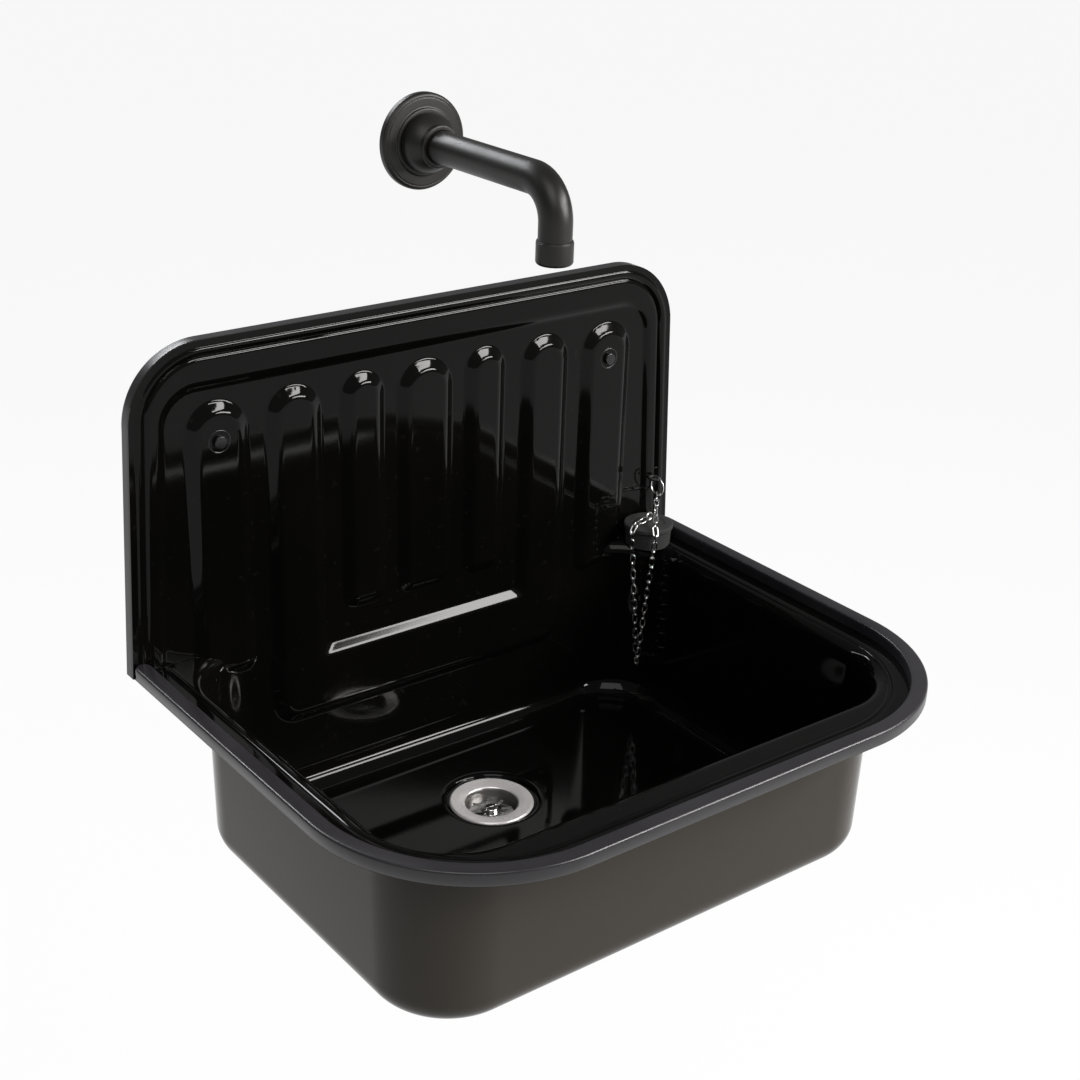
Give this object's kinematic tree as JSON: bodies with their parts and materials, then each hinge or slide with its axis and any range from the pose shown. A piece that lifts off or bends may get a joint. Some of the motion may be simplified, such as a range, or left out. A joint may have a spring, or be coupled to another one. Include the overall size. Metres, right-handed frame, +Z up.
{
  "type": "utility sink",
  "caption": "Wall-hung enamelled steel utility sink with a ribbed splashback, black edge strips, strainer waste, rubber plug on a chain and a wall spout above the bowl.",
  "frame": {"origin": "on the wall, midway between the axes of the two fixing screws", "axes": "+X along the wall to the right as seen by someone facing the sink, +Y into the wall, +Z up"},
  "size_m": [0.51, 0.4348, 0.5962],
  "materials": {
    "enamel": "gloss black enamel on pressed steel",
    "edge_strip": "satin black extruded plastic",
    "zinc_steel": "zinc plated steel",
    "cap_plastic": "gloss black moulded plastic",
    "grey_nylon": "plain grey nylon",
    "black_rubber": "plain black rubber",
    "chrome": "polished chrome",
    "waste_plastic": "moulded pale plastic",
    "plug_rubber": "smooth black rubber",
    "chain_steel": "bright plated wire",
    "stay_black": "black coated steel",
    "spout_black": "matt black powder coat on brass",
    "brass": "machined brass",
    "aerator_plastic": "moulded plastic"
  },
  "bodies": {
    "sink": {"basin_shell": "enamel", "splashback": "enamel", "rim_edge_strip": "edge_strip", "splashback_edge_strip": "edge_strip", "wall_screws": "zinc_steel", "screw_cap_bases": "cap_plastic", "screw_cap_buttons": "cap_plastic", "wall_spacers": "grey_nylon", "rear_buffers": "black_rubber", "waste_flange": "chrome", "waste_grid": "chrome", "waste_screw": "chrome", "upper_gasket": "black_rubber", "lower_gasket": "black_rubber", "waste_body": "waste_plastic", "stay_eye": "stay_black", "stay_nut": "zinc_steel", "stay_ring": "chain_steel", "spout_rose": "spout_black", "spout_collar": "spout_black", "spout_grub_screw": "zinc_steel", "spout_nipple": "brass", "spout_o_ring": "black_rubber", "spout_tube": "spout_black", "aerator_housing": "spout_black", "aerator_insert": "aerator_plastic", "aerator_seal": "black_rubber"},
    "plug": {"plug_body": "plug_rubber", "plug_eye": "chain_steel", "chain_hook": "chain_steel", "chain_over_plug": "chain_steel"},
    "chain_loop": {"chain_front_strand": "chain_steel", "chain_rear_strand": "chain_steel"},
    "lead": {"chain_lead": "chain_steel"}
  },
  "joints": [
    {"name": "plug_lift", "type": "slide", "parent": "sink", "child": "plug", "axis": [0, 0, 1], "range_m": [0, 0.012]},
    {"name": "chain_swing", "type": "hinge", "parent": "plug", "child": "chain_loop", "pos_m": [0.20725, -0.05298, -0.15206], "axis": [-0.6361, 0.7716, 0], "range_deg": [0, 30]},
    {"name": "lead_swing", "type": "hinge", "parent": "sink", "child": "lead", "pos_m": [0.2352, -0.0194, -0.13195], "axis": [-0.7508, 0.6605, 0], "range_deg": [0, 17]}
  ],
  "couplings": [
    {"joint": "lead_swing", "follows": "plug_lift", "rad_per_m": 24.44}
  ]
}
